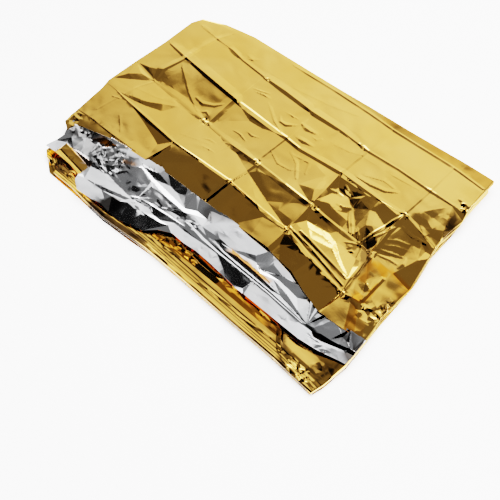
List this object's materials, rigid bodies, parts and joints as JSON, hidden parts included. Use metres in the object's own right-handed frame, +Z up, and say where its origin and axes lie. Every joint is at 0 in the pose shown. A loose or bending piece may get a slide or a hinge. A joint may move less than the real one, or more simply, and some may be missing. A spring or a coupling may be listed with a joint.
{
  "type": "emergency foil blanket",
  "caption": "Folded emergency blanket of thin metallised film, gold outside and silver inside: one sheet halved and folded back and forth, its open edges stepped along the near side.",
  "frame": {"origin": "middle of the folded blanket's outline, on the surface that it lies on", "axes": "+X along the long side, towards the fold that halves the sheet; +Y towards the far folded edge, away from the open edges; +Z up"},
  "size_m": [0.8295, 0.6127, 0.0453],
  "materials": {
    "gold_film": "mirror-bright gold metallised film",
    "silver_film": "mirror-bright silver side of the same film"
  },
  "bodies": {
    "root": {"foil_blanket": "gold_film"}
  },
  "joints": []
}
